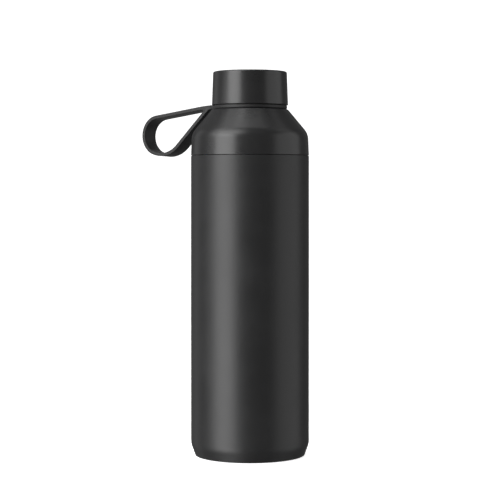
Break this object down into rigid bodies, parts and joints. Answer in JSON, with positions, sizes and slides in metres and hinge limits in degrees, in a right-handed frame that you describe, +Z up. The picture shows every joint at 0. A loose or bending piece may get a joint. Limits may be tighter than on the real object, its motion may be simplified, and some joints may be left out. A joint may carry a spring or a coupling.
{
  "type": "insulated water bottle",
  "caption": "Tall insulated water bottle with a tapered foot, a screw-off conical collar, a plain round screw cap and a moulded finger-loop strap that turns on the neck.",
  "frame": {"origin": "centre of the base pad's underside, where the bottle stands on a table", "axes": "+Z up along the bottle's axis through the cap; the strap's finger loop points along -X; +Y completes the right-handed frame"},
  "size_m": [0.1445, 0.089, 0.2887],
  "materials": {
    "powder_coat": "fine matt black powder coat",
    "steel": "electropolished inside, brushed outside",
    "cap_plastic": "fine spark-eroded black",
    "liner_plastic": "smooth satin black",
    "strap_silicone": "matt black moulded silicone",
    "seal_silicone": "translucent grey silicone",
    "foam": "open insulating foam",
    "copper": "bright copper foil",
    "glass": "fused sealing glass"
  },
  "bodies": {
    "bottle": {"outer_wall": "powder_coat", "outer_bottom": "steel", "base_pad": "strap_silicone", "vacuum_seal_bead": "glass", "getter_capsule": "steel", "inner_bottom": "steel", "inner_flask": "steel", "reflective_foil": "copper"},
    "collar_carrier": {"collar_seal": "seal_silicone"},
    "collar": {"shoulder_shell": "powder_coat", "collar_liner": "liner_plastic", "collar_foam": "foam", "drinking_spout": "liner_plastic", "spout_o_ring": "seal_silicone"},
    "strap": {"strap_ring": "strap_silicone"},
    "loop": {"strap_loop": "strap_silicone"},
    "cap_carrier": {"cap_seal": "seal_silicone"},
    "cap": {"cap_shell": "cap_plastic", "cap_liner": "liner_plastic", "cap_foam": "foam", "cap_disc": "steel"}
  },
  "joints": [
    {"name": "collar_lift", "type": "slide", "parent": "bottle", "child": "collar_carrier", "axis": [0, 0, 1], "range_m": [0, 0.0301]},
    {"name": "collar_turn", "type": "hinge", "parent": "collar_carrier", "child": "collar", "pos_m": [0, 0, 0.226], "axis": [0, 0, 1], "range_deg": [0, 1080]},
    {"name": "strap_swivel", "type": "hinge", "parent": "collar", "child": "strap", "pos_m": [0, 0, 0.26145], "axis": [0, 0, 1], "continuous": true},
    {"name": "strap_flex", "type": "hinge", "parent": "strap", "child": "loop", "pos_m": [-0.0314, 0, 0.2623], "axis": [0, 1, 0], "range_deg": [-12, 60], "stiffness_Nm_per_rad": 0.03, "springref_deg": 2.86},
    {"name": "cap_lift", "type": "slide", "parent": "collar", "child": "cap_carrier", "axis": [0, 0, 1], "range_m": [0, 0.0361]},
    {"name": "cap_turn", "type": "hinge", "parent": "cap_carrier", "child": "cap", "pos_m": [0, 0, 0.27], "axis": [0, 0, 1], "range_deg": [0, 1080]}
  ],
  "couplings": [
    {"joint": "collar_lift", "follows": "collar_turn", "m_per_rad": 0.0015915},
    {"joint": "cap_lift", "follows": "cap_turn", "m_per_rad": 0.0019099}
  ]
}
